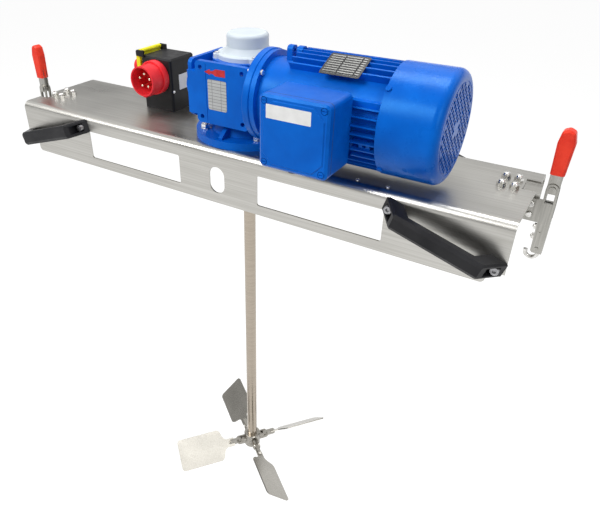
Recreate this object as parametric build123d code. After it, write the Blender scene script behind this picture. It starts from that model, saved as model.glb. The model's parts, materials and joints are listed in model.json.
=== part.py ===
"""Tank agitator that bridges an open container.

A folded stainless cross beam carries a worm gear motor, a switch with its power inlet, four carrying
handles and two toggle clamps.  A long shaft hangs from the gearbox and ends in a hub with four
folding blades.  Millimetres, +Z up.  The origin lies on the shaft axis, in the plane in which the
beam's stepped ends rest on the container rim.  +X points along the beam to the motor.
"""
from build123d import *
from math import atan2, cos, degrees, radians, sin, sqrt
import os

os.makedirs("parts", exist_ok=True)

# ------------------------------------------------------------------ driving dimensions
beam_length = 1048.0
beam_width = 218.0
beam_flange_height = 107.0
sheet = 3.0
bend_radius = 14.0
step_length = 26.0
step_height = 23.0
window_start = 88.0
window_end_gap = 6.5
window_height = 58.0
window_drop = 30.0
window_corner = 4.0
peephole_width = 34.0
peephole_height = 52.0
peephole_drop = 34.0
shaft_hole_radius = 45.0
step_corner = 8.0
notch_near = 19.0
notch_far = 62.0
notch_depth = 22.0

centre_distance = 48.0
motor_height = 98.0

flange_radius = 100.0
flange_thickness = 14.0
flange_pcd = 165.0
neck_radius = 64.0
housing_floor = 36.0
housing_top = 143.0
housing_drum_radius = 64.0
foot_plate = 110.0
foot_plate_thickness = 10.0
foot_plate_front = 86.0
foot_hole_inset = 11.0
foot_hole_radius = 4.2
foot_line_x = 32.0
side_plate_x = 77.0
side_plate_thickness = 8.0
input_flange_radius = 78.0
input_flange_start = 69.0
input_flange_end = 82.0

output_shaft_radius = 20.0
output_bearing_radius = 36.0
output_bearing_width = 12.0
worm_shaft_radius = 9.0
worm_bearing_radius = 20.0
worm_bearing_width = 12.0
wheel_width = 26.0
wheel_teeth = 30
worm_starts = 2
worm_tip_radius = 11.5
mesh_gap = 0.4
tooth_depth = 4.0

shield_radius = 66.0
frame_start = 132.0
frame_end = 310.0
frame_radius = 72.0
frame_wall = 5.0
fin_tip_radius = 85.0
fin_thickness = 2.4
fin_count = 40
bare_from = 122.0
bare_to = 218.0
shelf_low = 126.0
shelf_high = 138.0
shelf_front = 119.0
terminal_pad_inset = 8.0
terminal_pad_half = 42.5
lug_top = 88.0
boss_angle = 198.0
boss_centre = 290.0
shield_bolt_pcd = 143.0
shield_bolt_across = 8.0
shield_bolt_radius = 2.5
screw_angles = (45, 135, 225, 315)
cowl_screw_radius = 2.2
bearing_width = 14.0
shield_bearing = 26.0
rear_shield_depth = 14.0
fan_gap = 14.0
cowl_radius = 87.0
cowl_end = 401.0
cowl_wall = 2.0
cowl_edge = 14.0
grille_radius = 66.0
grille_pitch = 10.0
grille_bar = 2.6
motor_shaft_radius = 12.0
coupling_radius = 7.0
rotor_radius = 42.0
air_gap = 0.6
stack_length = 110.0
stack_start = 165.0

box_width = 116.0
box_height = 113.0
box_centre_x = 209.0
box_centre_z = 94.5
box_front = 200.0
box_back = 128.0
box_wall = 4.0
lid_depth = 13.0
lid_corner_cut = 17.0
box_corner = 8.0
box_screw_inset = 9.0
gasket_thickness = 1.0
gland_radius = 9.5
gland_setback = 26.0
gland_offset = 22.0

cap_brim_radius = 56.0
cap_tab_radius = 62.0
cap_brim_thickness = 9.0
cap_dome_radius = 38.0
cap_top = 186.0
cap_wall = 2.5

shaft_radius = 12.5
shaft_bottom = -794.0
hub_centre = -778.0
hub_radius = 21.0
hub_height = 40.0
blade_pivot_radius = 35.0
blade_tip_radius = 200.0
blade_length = 106.0
blade_width = 80.0
blade_thickness = 3.0
blade_pitch = -45.0
blade_azimuth = 52.0
arm_width = 22.0
lug_width = 8.0
lug_gap = 0.2
ear_thickness = 4.0
blade_pin_radius = 4.0
lug_radius = 7.0

switch_x = -236.0
switch_width = 78.0
switch_front = 12.0
switch_depth = 78.0
switch_base_height = 35.0
switch_height = 107.0
switch_chamfer = 12.0
inlet_radius = 30.0
inlet_z = 69.0
inlet_reach = 33.0
inlet_wall = 3.0
inlet_pin_radius = 2.6
inlet_pin_circle = 13.5
inlet_depth = 8.0
button_height = 80.0
button_radius = 9.0
button_travel = 3.0
button_setback = (20.0, 48.0)
mushroom_stem = 6.0
mushroom_radius = 15.0
flap_thickness = 14.0
flap_span = (2.0, 68.0)
flap_pin_radius = 2.0
flap_pin_offset = 6.0
flap_gap = 0.4

handle_pitch = 180.0
handle_foot = 28.0
handle_overhang = 12.0
handle_taper = 29.0
handle_reach = 41.0
handle_bar = 14.0
handle_height = 28.0
handle_slope = 17.0
handle_end_gap = 99.5
handle_z = -47.0
handle_floor = 9.0
handle_screw_radius = 4.0

clamp_y = 30.0
pivot_overhang = 22.0
pivot_z = -30.0
link_pivot_offset = 1.0
link_pivot_z = 7.0
bracket_bolt_setback = 42.5
bracket_bolt_pitch = (20.0, 33.0)
bracket_bolt_radius = 4.0
bracket_plate = 4.0
bracket_web = 4.0
tongue_bolt_setbacks = (17.0, 3.0)
tongue_bolt_drops = (25.0, 43.0)
tongue_bolt_radius = 3.0
pivot_pin_radius = 3.5
link_pin_radius = 3.5
clamp_window_height = 17.0
lever_top = 60.0
tongue_thickness = 5.0
lever_plate = 2.4
link_plate = 2.4
clamp_side_gap = 0.3
lever_half_width = 9.0
link_half_width = 9.4
grip_bottom = 32.0
grip_top = 104.0
hook_radius = 3.5
hook_bend = 9.5
hook_bottom = -122.0
link_bottom = -106.0

flange_bolt_radius = 5.0
switch_screw_radius = 2.5
switch_screw_inset = 12.0
running = 0.05
seat = 0.02

top = beam_flange_height - step_height
beam_end = beam_length / 2
inner_y = beam_width / 2 - sheet
outer_y = beam_width / 2
handle_x = beam_end - handle_end_gap
handle_length = handle_pitch + 2 * handle_overhang
handle_flat = handle_length - 2 * handle_taper
window_length = handle_x - handle_pitch / 2 - window_end_gap - window_start
pivot_x = beam_end + pivot_overhang
link_pivot_x = pivot_x - link_pivot_offset
bracket_bolt_x = beam_end - bracket_bolt_setback


# ------------------------------------------------------------------ helpers
def block(x, y, z):
    """Box from three (low, high) pairs."""
    size = [b - a for a, b in (x, y, z)]
    mid = [(a + b) / 2 for a, b in (x, y, z)]
    return Pos(*mid) * Box(*size)


def rod_z(radius, low, high, x=0.0, y=0.0):
    return Pos(x, y, (low + high) / 2) * Cylinder(radius, high - low)


def rod_x(radius, low, high, y=0.0, z=0.0):
    return Pos((low + high) / 2, y, z) * Rot(0, 90, 0) * Cylinder(radius, high - low)


def rod_y(radius, low, high, x=0.0, z=0.0):
    return Pos(x, (low + high) / 2, z) * Rot(90, 0, 0) * Cylinder(radius, high - low)


def hex_z(across, low, high, x=0.0, y=0.0):
    return Pos(x, y, low) * extrude(RegularPolygon(across / sqrt(3), 6), high - low)


def hex_y(across, low, high, x=0.0, z=0.0):
    return Pos(x, high, z) * Rot(90, 0, 0) * extrude(RegularPolygon(across / sqrt(3), 6), high - low)


def hex_x(across, low, high, y=0.0, z=0.0):
    return Pos(low, y, z) * Rot(0, 90, 0) * extrude(RegularPolygon(across / sqrt(3), 6), high - low)


def plate_xz(face, y_low, y_high):
    """Extrude a sketch drawn with u = X and v = Z between two Y planes."""
    return Pos(0, y_high, 0) * Rot(90, 0, 0) * extrude(face, y_high - y_low)


def ring_places(radius, count, start=0.0):
    step = 360 / count
    return [(radius * cos(radians(start + step * i)), radius * sin(radians(start + step * i)))
            for i in range(count)]


def save(node, *shapes):
    solids = []
    for shape in shapes:
        solids += list(shape.solids())
    for solid in solids:
        assert solid.is_valid, node
    export_step(Compound(children=solids) if len(solids) > 1 else solids[0], f"parts/{node}.step")


def opposite(shape):
    """The same part on the other end of the beam."""
    return Rot(0, 0, 180) * shape


# ------------------------------------------------------------------ cross beam
flange_bolt_places = ring_places(flange_pcd / 2, 4, 45)


def handle_hole_places():
    """(x, z) of the two screws of the handle on the +X half."""
    half, tilt = handle_pitch / 2, radians(handle_slope)
    return [(handle_x + s * half * cos(tilt), top + handle_z - s * half * sin(tilt)) for s in (-1, 1)]


def bracket_bolt_places():
    px, py = bracket_bolt_pitch
    return [(bracket_bolt_x + i * px / 2, clamp_y + j * py / 2) for i in (-1, 1) for j in (-1, 1)]


def switch_screw_places():
    half = switch_width / 2 - switch_screw_inset
    xs = (switch_x - half, switch_x + half)
    ys = (switch_front + switch_screw_inset, switch_front + switch_depth - switch_screw_inset)
    return [(x, y) for x in xs for y in ys]


def cross_beam():
    """Channel folded from one sheet, cut away at its ends and opened by windows and holes."""
    half = beam_end
    bottom = top - beam_flange_height
    outer = block((-half, half), (-outer_y, outer_y), (bottom, top))
    outer = fillet(outer.edges().filter_by(Axis.X).group_by(Axis.Z)[-1], bend_radius)
    inner = block((-half - 1, half + 1), (-inner_y, inner_y), (bottom - 1, top - sheet))
    inner = fillet(inner.edges().filter_by(Axis.X).group_by(Axis.Z)[-1], bend_radius - sheet)
    beam = outer - inner
    for side in (-1, 1):
        ends = sorted((side * (half - step_length), side * (half + 1)))
        beam -= block(ends, (-outer_y - 1, outer_y + 1), (bottom - 1, 0))
    corners = beam.edges().filter_by(Axis.Y).filter_by_position(Axis.Z, bottom - .1, bottom + .1)
    beam = fillet(corners, step_corner)
    window_z = top - window_drop - window_height / 2
    window_x = window_start + window_length / 2
    window = RectangleRounded(window_length, window_height, window_corner)
    face = Sketch() + [Pos(s * window_x, window_z) * window for s in (-1, 1)]
    peephole_z = top - peephole_drop - peephole_height / 2
    face += Pos(0, peephole_z) * SlotOverall(peephole_height, peephole_width, rotation=90)
    face += [Pos(s * x, z) * Circle(handle_screw_radius + .3) for s in (-1, 1)
             for x, z in handle_hole_places()]
    beam -= plate_xz(face, -outer_y - 1, outer_y + 1)
    holes = Sketch() + Circle(shaft_hole_radius)
    holes += [Pos(x, y) * Circle(flange_bolt_radius + .3) for x, y in flange_bolt_places]
    holes += [Pos(s * x, s * y) * Circle(bracket_bolt_radius + .3) for s in (-1, 1)
              for x, y in bracket_bolt_places()]
    holes += [Pos(x, y) * Circle(switch_screw_radius + .2) for x, y in switch_screw_places()]
    notch_mid = (notch_near + notch_far) / 2
    holes += [Pos(s * half, s * notch_mid) * Rectangle(2 * notch_depth, notch_far - notch_near)
              for s in (-1, 1)]
    return beam - Pos(0, 0, top - sheet - 1) * extrude(holes, sheet + 2)


save("cross_beam", cross_beam())


# ------------------------------------------------------------------ carrying handles
def handle_shape():
    """Bridge handle along X, standing on the XZ plane and reaching to -Y, before it is leaned."""
    half, flat = handle_length / 2, handle_flat / 2
    slope = (half - flat) / handle_reach
    inside = handle_reach - handle_bar
    outline = Polyline((-half, 0), (-flat, -handle_reach), (flat, -handle_reach), (half, 0), close=True)
    gap_half = half - handle_foot
    gap = Polyline((-gap_half, 1), (-gap_half + slope * inside, -inside),
                   (gap_half - slope * inside, -inside), (gap_half, 1), close=True)
    side = make_face(outline) - make_face(gap)
    body = Pos(0, 0, -handle_height / 2) * extrude(side, handle_height)
    front = body.faces().sort_by(Axis.Y)[0]
    body = chamfer(front.edges().filter_by(Axis.X), 6, 4)
    slopes = [e for e in body.edges().filter_by(GeomType.LINE)
              if abs(abs(e.center().Z) - handle_height / 2) < .1 and abs(e.center().X) > flat
              and e.center().Y < -6 and abs(e.center().X) > gap_half * .9]
    body = chamfer(slopes, 3)
    for side_x in (-1, 1):
        x = side_x * handle_pitch / 2
        body -= block((x - 11, x + 9) if side_x > 0 else (x - 9, x + 11),
                      (-handle_reach - 1, -handle_floor), (-8, 8))
        body -= rod_y(handle_screw_radius + .3, -handle_reach, 1, x, 0)
    return body


def lean(shape, side):
    """Lean a handle or its screws so that the outer end is low, and put it on the front flange."""
    placed = Pos(handle_x, -outer_y, top + handle_z) * Rot(0, handle_slope, 0) * shape
    return placed if side > 0 else mirror(placed, Plane.YZ)


def socket_screw(x):
    head = rod_y(6.5, -handle_floor - 7, -handle_floor, x, 0)
    head -= hex_y(6, -handle_floor - 8, -handle_floor - 4, x, 0)
    return head + rod_y(handle_screw_radius, -handle_floor, sheet + 10, x, 0)


def flange_nut(x):
    nut = hex_y(13, sheet, sheet + 6.5, x, 0) + rod_y(6.2, sheet, sheet + 1.6, x, 0)
    return nut - rod_y(handle_screw_radius, sheet - 1, sheet + 8, x, 0)


handle = handle_shape()
half_pitch = handle_pitch / 2
screws, nuts = [], []
for row, flip in (("front", False), ("back", True)):
    for name, side in (("left", -1), ("right", 1)):
        placed = lean(handle, side)
        save(f"carry_handle_{row}_{name}", mirror(placed, Plane.XZ) if flip else placed)
        for x in (-half_pitch, half_pitch):
            for store, piece in ((screws, socket_screw(x)), (nuts, flange_nut(x))):
                piece = lean(piece, side)
                store.append(mirror(piece, Plane.XZ) if flip else piece)
save("handle_fasteners", *screws, *nuts)

# ------------------------------------------------------------------ toggle clamps, built at +X
lever_y = tongue_thickness / 2 + clamp_side_gap
link_y = lever_y + lever_plate + clamp_side_gap
web_y = clamp_y + tongue_thickness / 2
web_end = beam_end + 6
tongue_bolt_places = [(beam_end - setback, top - drop) for setback in tongue_bolt_setbacks
                      for drop in tongue_bolt_drops]
pivot = (pivot_x, top + pivot_z)
link_pivot = (link_pivot_x, top + link_pivot_z)


def bracket():
    """Base plate bolted under the beam, with an upright web that the clamp's tongue is bolted to."""
    low = top - sheet - bracket_plate
    base = block((bracket_bolt_x - 21, bracket_bolt_x + 21), (clamp_y - 26, clamp_y + 26),
                 (low, top - sheet))
    base = fillet(base.edges().filter_by(Axis.Z), 6)
    outline = Polyline((bracket_bolt_x - 18, low + 1), (bracket_bolt_x + 21, low + 1),
                       (web_end, low - 6), (web_end, top - 50), (bracket_bolt_x + 8, top - 50), close=True)
    web = plate_xz(make_face(outline), web_y, web_y + bracket_web)
    for x, y in bracket_bolt_places():
        base -= rod_z(bracket_bolt_radius + .3, low - 1, top, x, y)
    for x, z in tongue_bolt_places:
        web -= rod_y(tongue_bolt_radius + .1, web_y - 1, web_y + bracket_web + 1, x, z)
    return base + web


def tongue():
    """Plate that reaches past the beam's end and holds the lever's pivot pin."""
    px, pz = pivot
    root_low, root_high = top - 54.0, top - 15.0
    root, neck = beam_end - 24, beam_end + 12
    end = Pos(px, pz) * Circle(7)
    body = make_face(Polyline((root, root_low), (neck, root_low), (px - 2, pz - 6.7), (px + 2, pz),
                              (px - 3, pz + 6.3), (neck, root_high), (root, root_high), close=True))
    plate = plate_xz(body + end, clamp_y - tongue_thickness / 2, clamp_y + tongue_thickness / 2)
    for x, z in tongue_bolt_places:
        plate -= rod_y(tongue_bolt_radius + .1, clamp_y - 6, clamp_y + 6, x, z)
    reach = lever_y + lever_plate
    return plate + rod_y(pivot_pin_radius, clamp_y - reach, clamp_y + reach, px, pz)


def window_face(half_width):
    """Cut-out through the lever and the link below their rivet."""
    mid = top - clamp_window_height / 2
    return Pos(link_pivot_x, mid) * RectangleRounded(2 * half_width, clamp_window_height, 1.5)


def lever():
    """Two plates joined by the rivet of the draw link; the hand end runs up into the grip."""
    bx, bz = link_pivot
    ax, az = pivot
    w = lever_half_width
    high = top + lever_top
    low = make_face(Polyline((ax - 6.8, az), (ax + 6.8, az), (bx + w, bz), (bx + w + 1, high),
                             (bx - w, high), (bx - w, bz), close=True))
    face = low + Pos(ax, az) * Circle(7) - window_face(w - 3.2)
    face -= Pos(ax, az) * Circle(pivot_pin_radius + running)
    plates = [plate_xz(face, clamp_y + s * (lever_y + lever_plate / 2) - lever_plate / 2,
                       clamp_y + s * (lever_y + lever_plate / 2) + lever_plate / 2) for s in (-1, 1)]
    head = link_y + link_plate + .3
    rivet = rod_y(link_pin_radius, clamp_y - head, clamp_y + head, bx, bz)
    for s in (-1, 1):
        cap = sorted((clamp_y + s * head, clamp_y + s * (head + 1.8)))
        rivet += rod_y(5.5, *cap, bx, bz)
    return plates[0] + plates[1] + rivet


def grip():
    """Dipped grip over the lever's hand end, slotted for its two plates."""
    bx = link_pivot_x + .5
    bottom, tip = top + grip_bottom, top + grip_top
    outline = Polyline((bx - 10.5, bottom), (bx + 10.5, bottom), (bx + 13, tip - 22), (bx + 9, tip - 4),
                       (bx, tip), (bx - 9, tip - 4), (bx - 12, tip - 22), close=True)
    face = fillet(make_face(outline).vertices().sort_by(Axis.Y)[2:], 6)
    half = 9.5
    body = plate_xz(face, clamp_y - half, clamp_y + half)
    rims = body.edges().filter_by(lambda e: abs(abs(e.center().Y - clamp_y) - half) < .01
                                  and e.center().Z > bottom + 1)
    body = chamfer(rims, 3)
    reach = lever_half_width + 1.6
    for s in (-1, 1):
        y = clamp_y + s * (lever_y + lever_plate / 2)
        gap = lever_plate / 2 + seat
        body -= block((link_pivot_x - reach, link_pivot_x + reach), (y - gap, y + gap),
                      (bottom - 1, top + lever_top + seat))
    return body


def draw_link():
    """Channel that hangs from the lever's rivet and carries the hook."""
    bx, bz = link_pivot
    w = link_half_width
    x0, x1 = bx - w, bx + w + 1
    low = top + link_bottom
    face = make_face(Polyline((x0, bz), (x0 + 2, low + 3), (x0 + 5, low), (x1, low), (x1, bz - 30),
                              (bx + w, bz), close=True))
    face = face + Pos(bx, bz) * Circle(w) - window_face(w - 3)
    face -= Pos(bx, bz) * Circle(link_pin_radius + running)
    link = None
    for s in (-1, 1):
        y = clamp_y + s * (link_y + link_plate / 2)
        cheek = plate_xz(face, y - link_plate / 2, y + link_plate / 2)
        link = cheek if link is None else link + cheek
    reach = link_y + link_plate
    link += block((x1 - link_plate, x1), (clamp_y - reach, clamp_y + reach), (low, top - 42))
    for s in (-1, 1):
        cap = sorted((clamp_y + s * reach, clamp_y + s * (reach + 1.4)))
        link += rod_y(3.2, *cap, bx + 1, top - 98)
        slot = extrude(Pos(bx - 1, top - 60) * SlotOverall(16, 4, rotation=90), 1)
        link -= Pos(0, clamp_y + s * (reach - .4) + .5, 0) * Rot(90, 0, 0) * slot
    return link


shank_x = link_pivot_x + link_half_width + 1 - link_plate - .4 - hook_radius


def hook():
    """Bent rod that catches under the container's rim."""
    arc_z = top + hook_bottom + hook_radius + hook_bend
    x0, x1 = shank_x, shank_x - 2 * hook_bend
    line = Polyline((x0, clamp_y, top - 50), (x0, clamp_y, arc_z))
    line += ThreePointArc((x0, clamp_y, arc_z), (x0 - hook_bend, clamp_y, arc_z - hook_bend),
                          (x1, clamp_y, arc_z))
    line += Line((x1, clamp_y, arc_z), (x1, clamp_y, arc_z + 3))
    profile = Pos(x0, clamp_y, top - 50) * Circle(hook_radius)
    return sweep(profile, path=line)


def hook_block():
    """Block that holds the hook rod inside the link, fixed by two nuts."""
    low, high = top + link_bottom + 2, top - 52
    inner = link_pivot_x - link_half_width + 2.5
    body = block((inner, link_pivot_x + link_half_width + 1 - link_plate - seat),
                 (clamp_y - link_y + seat, clamp_y + link_y - seat), (low, high))
    body -= rod_z(hook_radius + seat, low - 1, high + 1, shank_x, clamp_y)
    for z in (-62.0, -80.0):
        nut = hex_x(10, inner - 5, inner, clamp_y, top + z)
        body += nut + rod_x(2.8, inner - 7, inner, clamp_y, top + z)
    return body


def tongue_bolts():
    pieces = []
    front, back = clamp_y - tongue_thickness / 2, web_y + bracket_web
    for x, z in tongue_bolt_places:
        bolt = rod_y(tongue_bolt_radius, front, back + 6, x, z)
        bolt += fillet(rod_y(5, front - 3, front, x, z).edges().group_by(Axis.Y)[0], 1.5)
        pieces.append(bolt)
        pieces.append(hex_y(10, back, back + 5, x, z) - rod_y(tongue_bolt_radius, back - 1, back + 6, x, z))
    return pieces


def bracket_bolts():
    low = top - sheet - bracket_plate
    bolts, domes = [], []
    for x, y in bracket_bolt_places():
        bolts.append(hex_z(13, low - 5.3, low, x, y) + rod_z(bracket_bolt_radius, low, top + 8, x, y))
        dome = hex_z(13, top, top + 6.5, x, y)
        cup = rod_z(6.2, top + 6.5, top + 12, x, y)
        dome += fillet(cup.edges().group_by(Axis.Z)[-1], 4.5)
        domes.append(dome - rod_z(bracket_bolt_radius, top - 1, top + 8, x, y))
    return bolts, domes


clamp_nodes = {"clamp_bracket": [bracket(), tongue()], "clamp_lever": [lever()],
               "clamp_grip": [grip()], "clamp_link": [draw_link()],
               "clamp_hook": [hook(), hook_block()]}
for name, pieces in clamp_nodes.items():
    save(f"{name}_right", *pieces)
    save(f"{name}_left", *[opposite(piece) for piece in pieces])
bolts, domes = bracket_bolts()
pieces = tongue_bolts() + bolts + domes
save("bracket_fasteners", *pieces, *[opposite(piece) for piece in pieces])

# ------------------------------------------------------------------ gearbox
worm_y = -centre_distance
axis_z = top + motor_height
floor_z = top + housing_floor
lid_z = top + housing_top
wheel_tip_radius = centre_distance - worm_tip_radius - mesh_gap
cavity_radius = wheel_tip_radius + 5
cavity_low, cavity_high = axis_z - wheel_width / 2 - 5, axis_z + wheel_width / 2 + 5
shield_bolt_places = ring_places(shield_bolt_pcd / 2, 4, 45)
shield_flange_end = input_flange_end + 9


def output_flange():
    """Ribbed foot of the gearbox, bolted to the beam."""
    body = rod_z(flange_radius, top, top + flange_thickness)
    body += Pos(0, 0, top + flange_thickness) * Solid.make_cone(
        neck_radius + 8, neck_radius, housing_floor - flange_thickness)
    rib_h = housing_floor - flange_thickness - 3
    for angle in range(0, 360, 90):
        rib = block((neck_radius - 10, flange_radius - 6), (-4, 4), (0, rib_h))
        rib = chamfer(rib.edges().filter_by(Axis.Y).sort_by(Axis.Z)[-2:].sort_by(Axis.X)[-1], rib_h - 3,
                      flange_radius - neck_radius - 14)
        body += Pos(0, 0, top + flange_thickness) * Rot(0, 0, angle) * rib
    for x, y in flange_bolt_places:
        body -= rod_z(flange_bolt_radius + .3, top - 1, top + flange_thickness + 1, x, y)
        body -= rod_z(11, top + flange_thickness, top + housing_floor, x, y)
    body -= rod_z(output_bearing_radius + 3, top - 1, floor_z + 1)
    return body


def flange_bolts():
    bolts, nuts = [], []
    for x, y in flange_bolt_places:
        face = top + flange_thickness
        bolts.append(hex_z(16, top - sheet - 6.4, top - sheet, x, y)
                     + rod_z(flange_bolt_radius, top - sheet, face + 11, x, y))
        nut = hex_z(16, face + 1.6, face + 9.6, x, y) + rod_z(9.5, face, face + 1.6, x, y)
        nuts.append(nut - rod_z(flange_bolt_radius, face - 1, face + 12, x, y))
    return bolts, nuts


def shield_bolts():
    """Bolts from the motor's flange into the gearbox."""
    bolts = []
    for y, z in shield_bolt_places:
        head = hex_x(shield_bolt_across, shield_flange_end, shield_flange_end + 4, worm_y + y, axis_z + z)
        bolts.append(head + rod_x(shield_bolt_radius, input_flange_start - 3, shield_flange_end,
                                  worm_y + y, axis_z + z))
    return bolts


def gear_housing():
    """Cast drum with its foot plate in front, a plate on its blind side and the motor's flange ring."""
    half = foot_plate / 2
    plate_low = axis_z - half - 6
    body = rod_z(housing_drum_radius, floor_z, lid_z)
    core = block((-side_plate_x + 2, input_flange_start + 2), (-foot_plate_front + 2, 10),
                 (floor_z + 14, lid_z - 16))
    body += core
    foot = block((-half, half), (-foot_plate_front, -foot_plate_front + foot_plate_thickness),
                 (plate_low, plate_low + foot_plate))
    body += fillet(foot.edges().filter_by(Axis.Y), 7)
    side = block((-side_plate_x, -side_plate_x + side_plate_thickness), (-foot_plate_front + 8, 34),
                 (plate_low + 4, plate_low + foot_plate - 2))
    body += fillet(side.edges().filter_by(Axis.X), 10)
    body += rod_x(input_flange_radius - 22, input_flange_start - 11, input_flange_start, worm_y, axis_z)
    ring = rod_x(input_flange_radius, input_flange_start, input_flange_end, worm_y, axis_z)
    body += fillet(ring.edges().filter_by(GeomType.CIRCLE), 2)
    for z in (plate_low + 22, plate_low + foot_plate - 22):
        body += block((-side_plate_x + 4, half), (-foot_plate_front + 6, 0), (z - 2.5, z + 2.5))
    body -= rod_z(cavity_radius, cavity_low, cavity_high)
    for low, high in ((floor_z - 1, cavity_low), (cavity_high, lid_z + 1)):
        body -= rod_z(output_bearing_radius, low, high)
    body -= rod_x(worm_bearing_radius, -side_plate_x + 6, input_flange_end + 1, worm_y, axis_z)
    body -= rod_x(worm_tip_radius + 2, -side_plate_x - 1, -side_plate_x + 7, worm_y, axis_z)
    for x, y in ring_places(cap_tab_radius - 6, 4, 45):
        body -= rod_z(2.6, lid_z - 9, lid_z + 1, x, y)
    near, far = foot_hole_inset, foot_plate - foot_hole_inset
    for x in (-half + near, -half + far):
        for z in (plate_low + near, plate_low + far):
            body -= rod_y(foot_hole_radius, -foot_plate_front - 1, -foot_plate_front + 14, x, z)
    body -= block((-foot_line_x - .6, -foot_line_x + .6), (-foot_plate_front - 1, -foot_plate_front + .8),
                  (plate_low + 4, plate_low + foot_plate - 4))
    for y, z in shield_bolt_places:
        body -= rod_x(shield_bolt_radius + .1, input_flange_start - 1, input_flange_end + 1,
                      worm_y + y, axis_z + z)
    return body


def ring_x(outer, inner, low, high):
    return rod_x(outer, low, high, worm_y, axis_z) - rod_x(inner, low - 1, high + 1, worm_y, axis_z)


def ring_z(outer, inner, low, high):
    return rod_z(outer, low, high) - rod_z(inner, low - 1, high + 1)


def worm_end_cover():
    body = rod_x(worm_bearing_radius + 12, -side_plate_x - 5, -side_plate_x, worm_y, axis_z)
    body = fillet(body.edges().group_by(Axis.X)[0], 2)
    for y, z in ring_places(worm_bearing_radius + 6, 4, 45):
        body += hex_x(8, -side_plate_x - 8, -side_plate_x - 5, worm_y + y, axis_z + z)
    return body


def worm_wheel():
    half = wheel_width / 2
    body = rod_z(wheel_tip_radius, axis_z - half, axis_z + half)
    body -= rod_z(output_shaft_radius + seat, axis_z - half - 1, axis_z + half + 1)
    lead = degrees(atan2(worm_starts, 11))
    gap = block((wheel_tip_radius - tooth_depth, wheel_tip_radius + 2),
                (-1.6, 1.6), (-half - 3, half + 3))
    step = 360 / wheel_teeth
    gaps = [Rot(0, 0, step * i) * Rot(lead, 0, 0) * gap for i in range(wheel_teeth)]
    return body - [Pos(0, 0, axis_z) * g for g in gaps]


def output_shaft():
    body = rod_z(output_shaft_radius, top + 6, lid_z + 16)
    return body - rod_z(shaft_radius + seat, top, lid_z + 20)


worm_left = -side_plate_x + 8
worm_right_bearing = 44.0
coupling_end = input_flange_end + 28


def worm():
    body = rod_x(worm_shaft_radius, worm_left, -30, worm_y, axis_z)
    body += rod_x(worm_tip_radius, -30, 30, worm_y, axis_z)
    for i in range(-5, 6):
        groove = ring_x(worm_tip_radius + 1, worm_tip_radius - 2.2, i * 5 - 1.1, i * 5 + 1.1)
        body -= groove
    body += rod_x(worm_shaft_radius, 30, input_flange_end, worm_y, axis_z)
    body += rod_x(worm_shaft_radius + 3, input_flange_end, coupling_end, worm_y, axis_z)
    return body - rod_x(coupling_radius + seat, input_flange_end + 2, coupling_end + 1, worm_y, axis_z)


def top_cap():
    brim_top = lid_z + cap_brim_thickness
    body = rod_z(cap_brim_radius, lid_z, brim_top)
    body = chamfer(body.edges().group_by(Axis.Z)[-1], 2)
    for x, y in ring_places(cap_tab_radius - 8, 4, 45):
        body += rod_z(9, lid_z, brim_top - 1, x, y)
    dome = rod_z(cap_dome_radius, brim_top, top + cap_top)
    dome = fillet(dome.edges().group_by(Axis.Z)[-1], 7)
    body += dome
    body += Pos(0, 0, brim_top) * Solid.make_cone(cap_dome_radius + 8, cap_dome_radius, 10)
    inner = cap_dome_radius - cap_wall
    body -= rod_z(inner, lid_z - 1, top + cap_top - cap_wall)
    for x, y in ring_places(cap_tab_radius - 6, 4, 45):
        body -= rod_z(5.2, brim_top - 1, brim_top + 1, x, y)
        body -= rod_z(2.7, lid_z - 1, brim_top + 1, x, y)
    return body


def cap_screws():
    seat_z = lid_z + cap_brim_thickness - 1
    screws = []
    for x, y in ring_places(cap_tab_radius - 6, 4, 45):
        head = rod_z(4.6, seat_z, seat_z + 3.4, x, y)
        head = fillet(head.edges().group_by(Axis.Z)[-1], 1.2)
        screws.append(head + rod_z(2.5, lid_z - 8, seat_z, x, y))
    return screws


save("output_flange", output_flange())
bolts, nuts = flange_bolts()
save("flange_fasteners", *bolts, *nuts, *shield_bolts())
save("gear_housing", gear_housing())
save("worm_end_cover", worm_end_cover())
save("worm_wheel", worm_wheel())
save("hollow_output_shaft", output_shaft())
save("worm", worm())
inner = output_shaft_radius + running
bearings = [ring_z(output_bearing_radius, inner, low, low + output_bearing_width)
            for low in (cavity_low - output_bearing_width, cavity_high)]
seals = [ring_z(output_bearing_radius, inner, low, low + 8) for low in (floor_z, lid_z - 9)]
inner = worm_shaft_radius + running
bearings += [ring_x(worm_bearing_radius, inner, low, low + worm_bearing_width)
             for low in (worm_left, worm_right_bearing)]
seals.append(ring_x(worm_bearing_radius, inner, input_flange_end - 9, input_flange_end - 1))
save("gear_bearings", *bearings)
save("shaft_seals", *seals)
save("top_cap", top_cap())
save("cap_screws", *cap_screws())


# ------------------------------------------------------------------ motor
rear_shield_start = frame_end - rear_shield_depth
cavity_r = frame_radius - frame_wall
fan_start = frame_end + fan_gap


def about_motor(angle, shape):
    """Turn a shape that points up round the motor axis: 90 is up, 180 the terminal box side."""
    return Pos(0, worm_y, axis_z) * Rot(angle - 90, 0, 0) * shape


def lifting_lug(start, root):
    """Rounded lug across the motor's top, with a hole for a sling pin."""
    lug = block((start, start + 10), (-9, 9), (root - 2, lug_top))
    lug = fillet(lug.edges().filter_by(Axis.X).group_by(Axis.Z)[-1], 7)
    return lug - rod_x(3, start - 1, start + 11, 0, lug_top - 8)


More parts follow.
